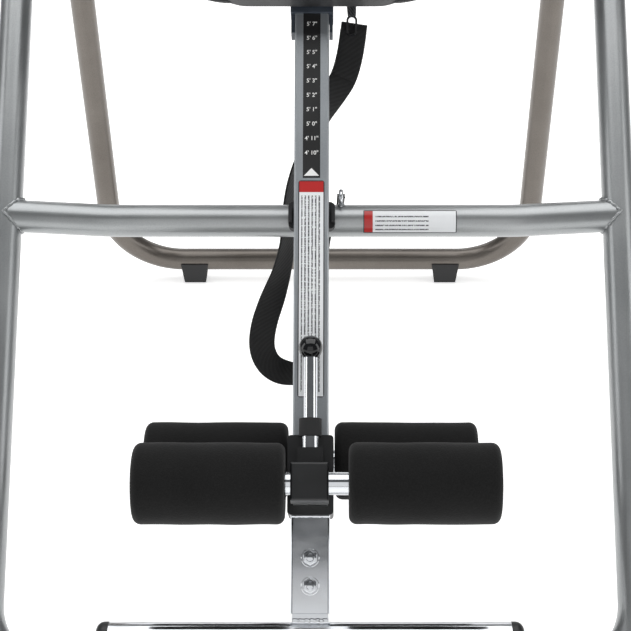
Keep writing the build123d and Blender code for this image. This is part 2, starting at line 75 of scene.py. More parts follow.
def blank(name):
    """A material with an empty tree."""
    material = bpy.data.materials.new(name)
    material.use_nodes = True
    material.node_tree.nodes.clear()
    return material, material.node_tree


bpy.ops.object.select_all(action="DESELECT")
bpy.ops.mesh.primitive_plane_add(size=30)
floor = bpy.context.object
floor.name = "studio_floor"
paper, tree = blank("white_paper_sweep")
shader = node(tree, "BsdfPrincipled", {"Base Color": linear(floor_white), "Roughness": 0.9,
                                       "Emission Color": linear("#ffffff"), "Emission Strength": paper_glow})
node(tree, "OutputMaterial", {"Surface": shader.outputs[0]})
floor.data.materials.append(paper)

world = bpy.data.worlds.new("studio_air")
world.use_nodes = True
tree = world.node_tree
tree.nodes.clear()
seen = node(tree, "LightPath").outputs["Is Camera Ray"]
glow = node(tree, "Background", {"Color": linear("#a9abad"), "Strength": 0.32})
wall = node(tree, "Background", {"Color": linear("#f6f6f6"), "Strength": 1.0})
both = node(tree, "MixShader", {0: seen, 1: glow.outputs[0], 2: wall.outputs[0]})
node(tree, "OutputWorld", {"Surface": both.outputs[0]})
bpy.context.scene.world = world

soft_boxes = (
    ("top_box", (0.0, 0.3, 3.3), (0, 0, 0), 4.4, 3.6, 105),
    ("key_box", (-0.2, -3.2, 1.40), (90, 0, 0), 3.0, 2.2, 17),
    ("left_box", (-2.6, -0.6, 1.3), (78, 0, -82), 1.0, 2.4, 15),
    ("right_box", (2.6, -0.9, 1.2), (80, 0, 76), 1.0, 2.4, 15),
    ("back_box", (0.0, 3.4, 1.6), (-78, 0, 0), 3.0, 1.2, 16),
)
for name, place, turn, wide, tall, watts in soft_boxes:
    light = bpy.data.lights.new(name, "AREA")
    light.shape, light.size, light.size_y, light.energy = "RECTANGLE", wide, tall, watts
    lamp = bpy.data.objects.new(name, light)
    lamp.location = place
    lamp.rotation_euler = [math.radians(a) for a in turn]
    bpy.context.scene.collection.objects.link(lamp)

camera = bpy.data.cameras.new("camera")
camera.lens, camera.sensor_width, camera.shift_x = 97.0, 36.0, -0.0350
camera.clip_end = 100
eye = bpy.data.objects.new("camera", camera)
eye.location = (0.030, -2.085, 1.225)
eye.rotation_euler = (math.radians(64), 0, 0)
bpy.context.scene.collection.objects.link(eye)
bpy.context.scene.camera = eye
bpy.context.scene.view_settings.view_transform = "Standard"

# ---------------------------------------------------------------- painted steel tubes
# Mild steel tube in a silver metallic enamel, sprayed and baked: flakes too small to
# see, a faint orange peel, and a clear skin over it. The rear frame's coat is a
# shade warmer and darker, partly its own paint and partly painted shade, since the
# rear frame stands in shade behind the front one.
flake_mm, peel_mm = 1.6, 5.0


def enamel(name, light, dark, shine, rough):
    """Silver metallic enamel between two close shades."""
    material, tree = blank(name)
    place = node(tree, "TexCoord").outputs["Object"]
    flakes = node(tree, "TexNoise", {"Vector": place, "Scale": 1000 / flake_mm, "Detail": 2.0})
    drift = node(tree, "TexNoise", {"Vector": place, "Scale": 9.0, "Detail": 3.0})
    mixed = node(tree, "Mix", {0: 0.35, 2: drift.outputs["Fac"], 3: flakes.outputs["Fac"]})
    colour = node(tree, "ValToRGB", {"Fac": mixed.outputs[0]},
                  stops=((0.3, dark), (0.7, light))).outputs["Color"]
    rough_map = node(tree, "MapRange", {"Value": drift.outputs["Fac"], "From Min": 0.3, "From Max": 0.7,
                                        "To Min": rough - 0.03, "To Max": rough + 0.04})
    peel = node(tree, "TexNoise", {"Vector": place, "Scale": 1000 / peel_mm, "Detail": 1.0})
    bump = node(tree, "Bump", {"Strength": 0.05, "Distance": 0.0004, "Height": peel.outputs["Fac"]})
    shader = node(tree, "BsdfPrincipled", {
        "Base Color": colour, "Metallic": shine, "Roughness": rough_map.outputs[0],
        "Coat Weight": 0.35, "Coat Roughness": 0.12, "Normal": bump.outputs["Normal"]})
    node(tree, "OutputMaterial", {"Surface": shader.outputs[0]})
    return material


def dress(material, *names):
    """Gives CAD nodes their finish."""
    for name in names:
        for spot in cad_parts[name].material_slots:
            spot.material = material


silver = enamel("silver_metallic_enamel", "#a9abac", "#959899", 0.86, 0.36)
# the rear frame's darker warm grey is partly its own paint and partly painted shade
rear_paint_and_shade = enamel("warm_grey_enamel_with_painted_shade", "#77716b", "#615b55", 0.82, 0.36)
boom_coat = enamel("satin_grey_enamel", "#abafb3", "#989da1", 0.82, 0.40)
dress(silver, "front_leg_left", "front_leg_right", "front_base_tube", "crossbar", "top_brackets",
      "handlebars", "bed_main_tube", "pivot_cross_tube", "bed_cross_tubes", "pivot_arms")
dress(rear_paint_and_shade, "rear_leg_left", "rear_leg_right", "rear_base_tube")
dress(boom_coat, "boom_tube")


# ---------------------------------------------------------------- bright fittings
# Chrome plate on the roller shafts, footrest, hook and lever, with faint polishing
# marks; dull zinc on the bolts, pins and braces.
def plated(name, light, dark, rough, streak_mm, relief):
    """Plated steel with fine marks drawn out along X."""
    material, tree = blank(name)
    place = node(tree, "TexCoord").outputs["Object"]
    drawn = node(tree, "Mapping", {"Vector": place, "Scale": (0.5, 1.0, 1.0)})
    marks = node(tree, "TexNoise", {"Vector": drawn.outputs[0], "Scale": 1000 / streak_mm, "Detail": 3.0})
    colour = node(tree, "ValToRGB", {"Fac": marks.outputs["Fac"]},
                  stops=((0.25, dark), (0.75, light))).outputs["Color"]
    rough_map = node(tree, "MapRange", {"Value": marks.outputs["Fac"], "From Min": 0.3, "From Max": 0.7,
                                        "To Min": rough * 0.8, "To Max": rough * 1.3})
    bump = node(tree, "Bump", {"Strength": relief, "Distance": 0.0002, "Height": marks.outputs["Fac"]})
    shader = node(tree, "BsdfPrincipled", {
        "Base Color": colour, "Metallic": 1.0, "Roughness": rough_map.outputs[0],
        "Normal": bump.outputs["Normal"]})
    node(tree, "OutputMaterial", {"Surface": shader.outputs[0]})
    return material


chrome = plated("chrome_plate", "#dcdee1", "#d3d6da", 0.12, 18.0, 0.02)
zinc = plated("zinc_plate", "#c9cbc9", "#a7aaab", 0.34, 0.9, 0.05)
dress(chrome, "rear_roller_shaft", "front_roller_shaft", "foot_post", "foot_bar", "foot_bolts",
      "lock_pin_barrel", "strap_hook", "strap_carabiner", "lock_pin")
dress(zinc, "bracket_bolts", "pivot_bushes", "brace_studs_front", "brace_studs_rear", "brace_front_links",
      "brace_rear_links", "pivot_pins", "pivot_washers", "bed_screws", "height_pin", "clamp_bar",
      "rear_hinge_bushes")


# ---------------------------------------------------------------- moulded plastic and rubber
# Injection moulded nylon and ABS with a fine spark-eroded texture, and softer
# moulded rubber for the feet and the bumper. The gloss drifts a little.
def moulded(name, light, dark, rough, grain_mm, relief):
    """Moulded plastic or rubber with an even grain."""
    material, tree = blank(name)
    place = node(tree, "TexCoord").outputs["Object"]
    grain = node(tree, "TexNoise", {"Vector": place, "Scale": 1000 / grain_mm, "Detail": 2.0})
    smear = node(tree, "TexNoise", {"Vector": place, "Scale": 28.0, "Detail": 4.0})
    colour = node(tree, "ValToRGB", {"Fac": smear.outputs["Fac"]},
                  stops=((0.3, dark), (0.72, light))).outputs["Color"]
    rough_map = node(tree, "MapRange", {"Value": smear.outputs["Fac"], "From Min": 0.3, "From Max": 0.7,
                                        "To Min": rough * 0.9, "To Max": min(1.0, rough * 1.15)})
    bump = node(tree, "Bump", {"Strength": relief, "Distance": 0.0003, "Height": grain.outputs["Fac"]})
    shader = node(tree, "BsdfPrincipled", {
        "Base Color": colour, "Roughness": rough_map.outputs[0], "IOR": 1.5, "Normal": bump.outputs[
        "Normal"]})
    node(tree, "OutputMaterial", {"Surface": shader.outputs[0]})
    return material


rubber = moulded("moulded_rubber", "#262627", "#18181a", 0.62, 0.9, 0.35)
black_abs = moulded("black_abs", "#1d1e20", "#131415", 0.42, 0.7, 0.25)
phenolic = moulded("polished_phenolic", "#151517", "#0d0d0f", 0.08, 3.0, 0.02)
collar_nylon = moulded("blue_grey_nylon", "#3e4650", "#323942", 0.46, 0.8, 0.25)
ply = moulded("painted_plywood", "#2b2a29", "#1f1e1d", 0.6, 1.4, 0.5)
dress(rubber, "front_feet", "rear_feet", "crossbar_bumper", "lock_pin_sleeve")
dress(black_abs, "ankle_housing", "clamp_head", "clamp_bar_plug", "main_tube_plug", "rear_leg_plugs",
      "foot_bar_caps", "height_pin_knob", "boom_glide", "handle_end_caps")
dress(phenolic, "lock_ball")
dress(collar_nylon, "boom_collar")
dress(ply, "backrest_board")

# ---------------------------------------------------------------- tether strap
# Flat polypropylene webbing 32 mm wide, 1.8 mm thick, plain black, sewn back on
# itself at the hook and the carabiner. It hangs behind the boom in one loop and
# limits how far the bed turns.
web_wide, web_thick = 0.032, 0.0018
strap_points = [(0.049, -0.104, 0.638), (0.044, -0.122, 0.598), (0.024, -0.138, 0.567),
                (0.000, -0.157, 0.527), (-0.020, -0.178, 0.490), (-0.029, -0.193, 0.452),
                (-0.030, -0.196, 0.412), (-0.036, -0.194, 0.370), (-0.050, -0.190, 0.325),
                (-0.063, -0.188, 0.285), (-0.066, -0.188, 0.250), (-0.052, -0.190, 0.225),
                (-0.022, -0.192, 0.218), (0.004, -0.194, 0.228), (0.014, -0.197, 0.262),
                (0.016, -0.200, 0.305), (0.016, -0.201, 0.350), (0.018, -0.204, 0.395),
                (0.026, -0.209, 0.440), (0.033, -0.214, 0.461)]
strap_lays = [(1, 0.1, -0.15), (1, 0.1, -0.3), (0.6, 0.6, -0.5), (0.4, 0.85, -0.3), (0.4, 0.9, -0.1),
              (0.4, 0.92, 0), (0.5, 0.86, 0), (0.75, 0.62, 0.1), (0.97, 0.2, 0.1), (1, 0.02, 0),
              (0.95, 0.1, 0.25),
              (0.5, 0.3, 0.8), (0.05, 0.8, 0.55), (-0.05, 1, 0.2), (-0.05, 1, 0), (-0.05, 1, 0),
              (0, 1, 0), (0, 1, 0), (0.1, 1, 0), (0.3, 0.95, 0)]


def spline_line(name, points):
    """A NURBS curve drawn towards its points, and the places it passes, read off the curve."""
    data = bpy.data.curves.new(name, "CURVE")
    data.dimensions, data.resolution_u = "3D", 10
    spline = data.splines.new("NURBS")
    spline.points.add(len(points) - 1)
    for spot, point in zip(spline.points, points):
        spot.co = (*point, 1.0)
    spline.order_u = 3
    spline.use_endpoint_u = True
    curve = bpy.data.objects.new(name, data)
    bpy.context.scene.collection.objects.link(curve)
    bpy.context.view_layer.update()
    mesh = bpy.data.meshes.new_from_object(curve)
    line = [v.co.copy() for v in mesh.vertices]
    bpy.data.meshes.remove(mesh)
    return curve, line


def tape(name, line, lays, wide, thick):
    """A flat band along a line; lays are its width directions, spread evenly along it."""
    count = len(line)
    section = [(-0.5, -0.5), (-0.46, -0.62), (-0.2, -0.5), (0.2, -0.5), (0.46, -0.62), (0.5, -0.5),
               (0.5, 0.5), (0.46, 0.62), (0.2, 0.5), (-0.2, 0.5), (-0.46, 0.62), (-0.5, 0.5)]
    shape = bmesh.new()
    rings, run, runs = [], 0.0, []
    for i, point in enumerate(line):
        along = (line[min(i + 1, count - 1)] - line[max(i - 1, 0)]).normalized()
        run += (point - line[i - 1]).length if i else 0.0
        runs.append(run)
        place = i / (count - 1) * (len(lays) - 1)
        low = min(int(place), len(lays) - 2)
        across = Vector(lays[low]).lerp(Vector(lays[low + 1]), place - low)
        across = (across - along * across.dot(along)).normalized()
        out = along.cross(across)
        rings.append([shape.verts.new(point + across * u * wide + out * v * thick) for u, v in section])
    uv = shape.loops.layers.uv.new("webbing")
    ring_of = {vert: (i, j) for i, ring in enumerate(rings) for j, vert in enumerate(ring)}
    for a, b in zip(rings, rings[1:]):
        for j in range(len(section)):
            k = (j + 1) % len(section)
            shape.faces.new((a[j], a[k], b[k], b[j]))
    shape.faces.new(rings[0][::-1])
    shape.faces.new(rings[-1])
    for face in shape.faces:
        for loop in face.loops:
            i, j = ring_of[loop.vert]
            loop[uv].uv = ((section[j][0] + 0.5) * wide, runs[i])
    bmesh.ops.recalc_face_normals(shape, faces=shape.faces)
    mesh = bpy.data.meshes.new(name)
    shape.to_mesh(mesh)
    shape.free()
    made = bpy.data.objects.new(name, mesh)
    bpy.context.scene.collection.objects.link(made)
    for face in mesh.polygons:
        face.use_smooth = True
    return made


webbing, tree = blank("polypropylene_webbing")
# slanting woven ribs, drawn several times coarser than the yarn so that they show
rib_scale = 1000 / 1.7 / 6.283
across = node(tree, "UVMap", uv_map="webbing").outputs["UV"]
rib = node(tree, "TexWave", {"Vector": across, "Scale": rib_scale, "Distortion": 0.6},
           wave_type="BANDS", bands_direction="DIAGONAL")
fuzz = node(tree, "TexNoise", {"Vector": across, "Scale": 900.0, "Detail": 3.0})
tone = node(tree, "Mix", {0: 0.4, 2: rib.outputs["Fac"], 3: fuzz.outputs["Fac"]})
colour = node(tree, "ValToRGB", {"Fac": tone.outputs[0]},
              stops=((0.15, "#0a0a0b"), (0.85, "#171718"))).outputs["Color"]
bump = node(tree, "Bump", {"Strength": 0.5, "Distance": 0.0004, "Height": tone.outputs[0]})
shader = node(tree, "BsdfPrincipled", {"Base Color": colour, "Roughness": 0.82, "Sheen Weight": 0.12,
                                       "Sheen Roughness": 0.5, "Normal": bump.outputs["Normal"]})
node(tree, "OutputMaterial", {"Surface": shader.outputs[0]})

curve, line = spline_line("strap_line", strap_points)
bpy.data.objects.remove(curve)
strap = tape("strap_webbing", line, strap_lays, web_wide, web_thick)
strap.data.materials.append(webbing)
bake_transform(strap)
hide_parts("tether_strap")
hook_loop = [Vector(p) for p in ((0.0325, -0.2115, 0.446), (0.0335, -0.2145, 0.462), (0.034, -0.223, 0.474),
                                 (0.034, -0.232, 0.4785), (0.034, -0.239, 0.4785))]
sewn_end = [line[0] + (line[0] - line[2]).normalized() * 0.009] + line[:10]
for name, run, lays, wide, thick in (("strap_fold_top", sewn_end, strap_lays[:2], web_wide * 0.97, 0.0058),
                                     ("strap_hook_loop", hook_loop, [(1, 0, 0), (1, 0, 0)], 0.009, 0.0022)):
    fold = tape(name, run, lays, wide, thick)
    fold.data.materials.append(webbing)
    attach(fold, "bed" if name.endswith("top") else "front_frame")


# ---------------------------------------------------------------- anchor cords
# Twin braided nylon cords, 6 mm, from the welded eye under the bed to the snap
# hook that takes the strap.
bed_lean = math.radians(52)
bed_origin = Vector((0, -0.2714896, 0.4736265))
bed_place = Matrix.Translation(bed_origin) @ Matrix.Rotation(bed_lean, 4, "X")
cord_thick, yarn_scale = 0.006, 1000 / 1.4 / 6.283
braid, tree = blank("braided_nylon")
place = node(tree, "TexCoord").outputs["Object"]
turn = node(tree, "Mapping", {"Vector": place, "Rotation": (0.9, 0.6, 0.4)})
yarn = node(tree, "TexWave", {"Vector": turn.outputs[0], "Scale": yarn_scale, "Distortion": 2.0})
colour = node(tree, "ValToRGB", {"Fac": yarn.outputs["Fac"]},
              stops=((0.1, "#2b2c2e"), (0.9, "#55575a"))).outputs["Color"]
bump = node(tree, "Bump", {"Strength": 0.6, "Distance": 0.0006, "Height": yarn.outputs["Fac"]})
shader = node(tree, "BsdfPrincipled", {"Base Color": colour, "Roughness": 0.7, "Normal": bump.outputs[
                                       "Normal"]})
node(tree, "OutputMaterial", {"Surface": shader.outputs[0]})
cord_routes = {"anchor_cord_left": [(41, 316, -15), (40, 300, -21), (43, 275, -24), (45, 250, -26)],
               "anchor_cord_right": [(47, 316, -15), (50, 300, -21), (50, 275, -24), (49, 250, -26)]}
for name, spots in cord_routes.items():
    points = [bed_place @ (Vector(p) / 1000) for p in spots]
    curve, line = spline_line(name, points)
    curve.data.bevel_depth, curve.data.bevel_resolution, curve.data.use_fill_caps = cord_thick / 2, 4, True
    curve.data.materials.append(braid)
    long = sum((b - a).length for a, b in zip(line, line[1:]))
    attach(curve, "bed")
    if name.endswith("left"):
        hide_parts("anchor_cords")


# ---------------------------------------------------------------- foam rollers
# Closed-cell rubber foam sleeves on plastic cores, cut to length with rounded
# ends. The skin is matt and closely pitted, and slightly uneven where it is worn.
roller_r, roller_long, roller_round = 0.0445, 0.163, 0.009


def lathe(name, profile, steps=64):
    """A closed profile of (radius, height) turned round Z."""
    mesh = bpy.data.meshes.new(name)
    count = len(profile)
    mesh.from_pydata([(r, 0, z) for r, z in profile], [(i, i + 1) for i in range(count - 1)], [])
    made = bpy.data.objects.new(name, mesh)
    bpy.context.scene.collection.objects.link(made)
    bpy.ops.object.select_all(action="DESELECT")
    made.select_set(True)
    bpy.context.view_layer.objects.active = made
    bpy.ops.object.mode_set(mode="EDIT")
    bpy.ops.mesh.select_all(action="SELECT")
    bpy.ops.mesh.spin(steps=steps, angle=2 * math.pi, center=(0, 0, 0), axis=(0, 0, 1))
    bpy.ops.mesh.select_all(action="SELECT")
    bpy.ops.mesh.remove_doubles(threshold=0.00002)
    bpy.ops.mesh.normals_make_consistent(inside=False)
    bpy.ops.object.mode_set(mode="OBJECT")
    bpy.ops.object.shade_smooth_by_angle(angle=math.radians(35))
    return made


foam, tree = blank("closed_cell_foam")
place = node(tree, "TexCoord").outputs["Object"]
# cells about 0.8 mm, drawn at 1.6 mm so that the pitting shows
cells = node(tree, "TexVoronoi", {"Vector": place, "Scale": 1000 / 1.6})
patch = node(tree, "TexNoise", {"Vector": place, "Scale": 22.0, "Detail": 5.0})
tone = node(tree, "Mix", {0: 0.5, 2: cells.outputs["Distance"], 3: patch.outputs["Fac"]})
colour = node(tree, "ValToRGB", {"Fac": tone.outputs[0]},
              stops=((0.2, "#0c0c0c"), (0.75, "#181818"))).outputs["Color"]
bump = node(tree, "Bump", {"Strength": 0.45, "Distance": 0.0005, "Height": cells.outputs["Distance"]})
shader = node(tree, "BsdfPrincipled", {"Base Color": colour, "Roughness": 0.93, "Sheen Weight": 0.08,
                                       "Specular IOR Level": 0.25, "Normal": bump.outputs["Normal"]})
node(tree, "OutputMaterial", {"Surface": shader.outputs[0]})

bore, mouth_wide, mouth_deep = 0.0155, 0.003, 0.004
dent_deep, dent_scale, worn = 0.0008, 26, 0.0005
profile = [(bore, mouth_deep), (bore + mouth_wide, 0.0)]
for i in range(9):
    a = math.radians(90 * i / 8)
    profile.append((roller_r - roller_round + roller_round * math.sin(a), roller_round * (1 - math.cos(a))))
for i in range(1, 14):
    z = roller_round + (roller_long - 2 * roller_round) * i / 14
    profile.append((roller_r, z))
for i in range(9):
    a = math.radians(90 * i / 8)
    profile.append((roller_r - roller_round + roller_round * math.cos(a),
                    roller_long - roller_round + roller_round * math.sin(a)))
profile += [(bore + mouth_wide, roller_long), (bore, roller_long - mouth_deep), (bore, mouth_deep)]
hub_profile = [(0.0, 0.0008), (0.0085, 0.0008), (0.0095, -0.0002), (0.0130, -0.0002), (0.0152, -0.0012),
               (0.0152, -0.0040), (0.0, -0.0040), (0.0, 0.0008)]
roller_places = {"front_roller_right": (0.042, 1, -0.321, 0.066),
                 "front_roller_left": (-0.0265, -1, -0.321, 0.066),
                 "rear_roller_right": (0.0265, 1, -0.282, -0.050),
                 "rear_roller_left": (-0.0265, -1, -0.282, -0.050)}
for number, (name, (x, side, s, h)) in enumerate(roller_places.items()):
    roller = lathe(name + "_foam", profile)
    turn = Matrix.Rotation(math.radians(90 * side), 4, "Y")
    spot = bed_place @ Matrix.Translation((x, s, h)) @ turn
    for vert in roller.data.vertices:
        r = math.hypot(vert.co.x, vert.co.y)
        if r > bore * 1.5:
            dent = noise.noise(vert.co * dent_scale + Vector((0, 0, number * 7.0))) * dent_deep
            vert.co.x *= 1 - (worn - dent) / r
            vert.co.y *= 1 - (worn - dent) / r
    roller.data.transform(spot)
    roller.data.materials.append(foam)
    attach(roller, name)
    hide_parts(name)
    hub = lathe(name + "_hub", hub_profile, 40)
    hub.data.transform(spot @ Matrix.Translation((0, 0, roller_long - 0.0005)))
    hub.data.materials.append(black_abs)
    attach(hub, name)

# ---------------------------------------------------------------- back pad and head cushion
# Black expanded vinyl over foam: a long pad stapled round the board and a small
# cushion sewn to it at the head, each with a welt along its side seam.
vinyl, tree = blank("expanded_vinyl")
place = node(tree, "TexCoord").outputs["Object"]
# leather-cloth grain about 2.2 mm across
grain = node(tree, "TexVoronoi", {"Vector": place, "Scale": 1000 / 2.2}, feature="DISTANCE_TO_EDGE")
soft = node(tree, "TexNoise", {"Vector": place, "Scale": 16.0, "Detail": 4.0})
colour = node(tree, "ValToRGB", {"Fac": soft.outputs["Fac"]},
              stops=((0.3, "#141416"), (0.72, "#232427"))).outputs["Color"]
rough_map = node(tree, "MapRange", {"Value": soft.outputs["Fac"], "From Min": 0.3, "From Max": 0.7,
                                    "To Min": 0.42, "To Max": 0.55})
bump = node(tree, "Bump", {"Strength": 0.4, "Distance": 0.0004, "Height": grain.outputs["Distance"]})
shader = node(tree, "BsdfPrincipled", {"Base Color": colour, "Roughness": rough_map.outputs[0],
                                       "Coat Weight": 0.08, "Normal": bump.outputs["Normal"]})
node(tree, "OutputMaterial", {"Surface": shader.outputs[0]})


def slab(name, half_x, s, h, corner, soften):
    """A flat slab with round corners, made in the bed's own frame."""
    bpy.ops.object.select_all(action="DESELECT")
    size = (2 * half_x, s[1] - s[0], h[1] - h[0])
    middle = (0, (s[0] + s[1]) / 2, (h[0] + h[1]) / 2)
    bpy.ops.mesh.primitive_cube_add(size=1, location=middle, scale=size)
    made = bpy.context.object
    made.name = name
    bpy.ops.object.transform_apply(location=True, rotation=True, scale=True)
    bpy.ops.object.mode_set(mode="EDIT")
    bpy.ops.mesh.select_all(action="DESELECT")
    bpy.ops.object.mode_set(mode="OBJECT")
    for edge in made.data.edges:
        a, b = (made.data.vertices[i].co for i in edge.vertices)
        edge.select = abs(a.z - b.z) > size[2] / 2
    bpy.ops.object.mode_set(mode="EDIT")
    bpy.ops.mesh.select_mode(type="EDGE")
    bpy.ops.mesh.bevel(offset=corner, segments=12, affect="EDGES")
    bpy.ops.mesh.select_all(action="DESELECT")
    bpy.ops.object.mode_set(mode="OBJECT")
    for edge in made.data.edges:
        a, b = (made.data.vertices[i].co for i in edge.vertices)
        edge.select = a.z > middle[2] and b.z > middle[2]
    bpy.ops.object.mode_set(mode="EDIT")
    bpy.ops.mesh.bevel(offset=soften, segments=5, affect="EDGES")
    bpy.ops.object.mode_set(mode="OBJECT")
    return made


def puff(made, voxel, cap, rest_h, top_h):
    """Fills a slab like a stuffed cover: swells it by cloth pressure, each point by at most cap."""
    bpy.ops.object.select_all(action="DESELECT")
    made.select_set(True)
    bpy.context.view_layer.objects.active = made
    remesh = made.modifiers.new("skin", "REMESH")
    remesh.mode, remesh.voxel_size = "VOXEL", voxel
    bpy.ops.object.modifier_apply(modifier="skin")
    before = [v.co.copy() for v in made.data.vertices]
    cloth = made.modifiers.new("fill", "CLOTH")
    cloth.settings.use_pressure = True
    cloth.settings.uniform_pressure_force = 4.0
    cloth.settings.effector_weights.gravity = 0
    cloth.point_cache.frame_start, cloth.point_cache.frame_end = 1, 20
    for step in range(1, 21):
        bpy.context.scene.frame_set(step)
    bpy.ops.object.modifier_apply(modifier="fill")
    bpy.context.scene.frame_set(1)
    for vert, start in zip(made.data.vertices, before):
        move = vert.co - start
        if move.length > cap:
            vert.co = start + move * (cap / move.length)
        vert.co.z = min(max(vert.co.z, rest_h), top_h)
    smooth = made.modifiers.new("even", "SMOOTH")
    smooth.factor, smooth.iterations = 0.5, 4
    bpy.ops.object.modifier_apply(modifier="even")
    finer = made.modifiers.new("finer", "SUBSURF")
    finer.levels = finer.render_levels = 1
    bpy.ops.object.modifier_apply(modifier="finer")
    for vert in made.data.vertices:
        vert.co.z = max(vert.co.z, rest_h)
    bpy.ops.object.shade_smooth()


def rounded_path(half_x, s, h, corner, steps=8):
    """Points round a rounded rectangle in the bed frame."""
    path = []
    for cx, cy, start in ((half_x, s[1], 0), (-half_x, s[1], 90), (-half_x, s[0], 180), (half_x, s[0], 270)):
        mx = cx - math.copysign(corner, cx)
        my = cy - corner if cy == s[1] else cy + corner
        for i in range(steps + 1):
            a = math.radians(start + 90 * i / steps)
            path.append((mx + corner * math.cos(a), my + corner * math.sin(a), h))
    return path


def welt(name, path, thick):
    """A closed round cord laid along a path in the bed frame."""
    data = bpy.data.curves.new(name, "CURVE")
    data.dimensions, data.bevel_depth, data.bevel_resolution = "3D", thick / 2, 3
    spline = data.splines.new("POLY")
    spline.points.add(len(path) - 1)
    for spot, point in zip(spline.points, path):
        spot.co = (*point, 1)
    spline.use_cyclic_u = True
    made = bpy.data.objects.new(name, data)
    bpy.context.scene.collection.objects.link(made)
    bpy.ops.object.select_all(action="DESELECT")
    made.select_set(True)
    bpy.context.view_layer.objects.active = made
    bpy.ops.object.convert(target="MESH")
    bpy.ops.object.shade_smooth()
    return bpy.context.object


pad_half, pad_s, pad_h, pad_corner, pad_top = 0.209, (0.249, 1.328), (0.0303, 0.062), 0.115, 0.072
head_half, head_s, head_h, head_corner = 0.125, (1.181, 1.291), (0.0715, 0.097), 0.026
head_rest, head_top = 0.0705, 0.104
channels, channel_wide, channel_deep, crown_from = (0.560, 0.900), 0.014, 0.008, 0.045
pad = slab("back_pad", pad_half, pad_s, pad_h, pad_corner, 0.014)
puff(pad, 0.006, 0.010, pad_h[0], pad_top)
# two shallow sewn channels across the pad, pulled down after filling
for vert in pad.data.vertices:
    if vert.co.z > crown_from:
        for channel in channels:
            reach = (vert.co.y - channel) / channel_wide
            vert.co.z -= channel_deep * math.exp(-reach * reach)
pad_seam = welt("back_pad_welt", rounded_path(0.2135, (0.2445, 1.3325), 0.0345, 0.1195), 0.005)
head = slab("head_pad", head_half, head_s, head_h, head_corner, 0.011)
puff(head, 0.005, 0.008, head_rest, head_top)
head_seam = welt("head_pad_welt", rounded_path(0.129, (1.177, 1.295), 0.0765, 0.029), 0.004)
for made, node_name in ((pad, "backrest_pad"), (pad_seam, None), (head, "head_cushion"), (head_seam, None)):
    made.data.transform(bed_place)
    made.data.materials.clear()
    made.data.materials.append(vinyl)
    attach(made, "bed")
    if node_name:
        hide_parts(node_name)


# ---------------------------------------------------------------- handle grips
# Soft foam sleeves pushed over the top of each handlebar, moulded with shallow
# rings for the hands.
grip_profile = [(0.0161, 0.0), (0.0185, 0.0), (0.0195, 0.001)]
for ring in range(12):
    start = 0.006 + ring * 0.0115
    grip_profile += [(0.0195, start), (0.0183, start + 0.002), (0.0183, start + 0.004),
                     (0.0195, start + 0.006)]
grip_profile += [(0.0195, 0.147), (0.0185, 0.148), (0.0161, 0.148), (0.0161, 0.0)]
for side in (-1, 1):
    upper, tip = Vector((side * 0.3625, 0.152, 1.180)), Vector((side * 0.3625, -0.070, 1.306))
    along = (tip - upper).normalized()
    grip = lathe("grip_right" if side > 0 else "grip_left", grip_profile, 48)
    lean = Vector((0, 0, 1)).rotation_difference(along).to_matrix().to_4x4()
    grip.data.transform(Matrix.Translation(tip - along * 0.150) @ lean)
    grip.data.materials.append(foam)
    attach(grip, "front_frame")
    if side > 0:
        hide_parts("handle_grips")


# ---------------------------------------------------------------- boom scale
# A black printed vinyl strip with the user's height in feet and inches beside each
# hole, and a white arrow below them that points to the setting in use.
face_h = 0.01502


def sticker(name, x, y, corner, thick, cells=1):
    """A flat sticker with rounded corners and its own UV map in millimetres from its lower left corner."""
    bpy.ops.object.select_all(action="DESELECT")
    wide, tall = x[1] - x[0], y[1] - y[0]
    bpy.ops.mesh.primitive_grid_add(x_subdivisions=1, y_subdivisions=cells, size=1,
                                    location=((x[0] + x[1]) / 2, (y[0] + y[1]) / 2, 0))
    made = bpy.context.object
    made.name = name
    made.scale = (wide, tall, 1)
    bpy.ops.object.transform_apply(location=True, rotation=True, scale=True)
    bpy.ops.object.mode_set(mode="EDIT")
    bpy.ops.mesh.select_all(action="DESELECT")
    bpy.ops.mesh.select_mode(type="VERT")
    bpy.ops.object.mode_set(mode="OBJECT")
    for vert in made.data.vertices:
        at_x = min(abs(vert.co.x - x[0]), abs(vert.co.x - x[1])) < 1e-5
        at_y = min(abs(vert.co.y - y[0]), abs(vert.co.y - y[1])) < 1e-5
        vert.select = at_x and at_y
    bpy.ops.object.mode_set(mode="EDIT")
    bpy.ops.mesh.bevel(offset=corner, segments=5, affect="VERTICES")
    bpy.ops.object.mode_set(mode="OBJECT")
    layer = made.data.uv_layers[0]
    layer.name = "print"
    for loop in made.data.loops:
        spot = made.data.vertices[loop.vertex_index].co
        layer.data[loop.index].uv = ((spot.x - x[0]) * 1000, (spot.y - y[0]) * 1000)
    wall = made.modifiers.new("film", "SOLIDIFY")
    wall.thickness, wall.offset = thick, 1.0
    bpy.context.view_layer.objects.active = made
    bpy.ops.object.modifier_apply(modifier="film")
    return made


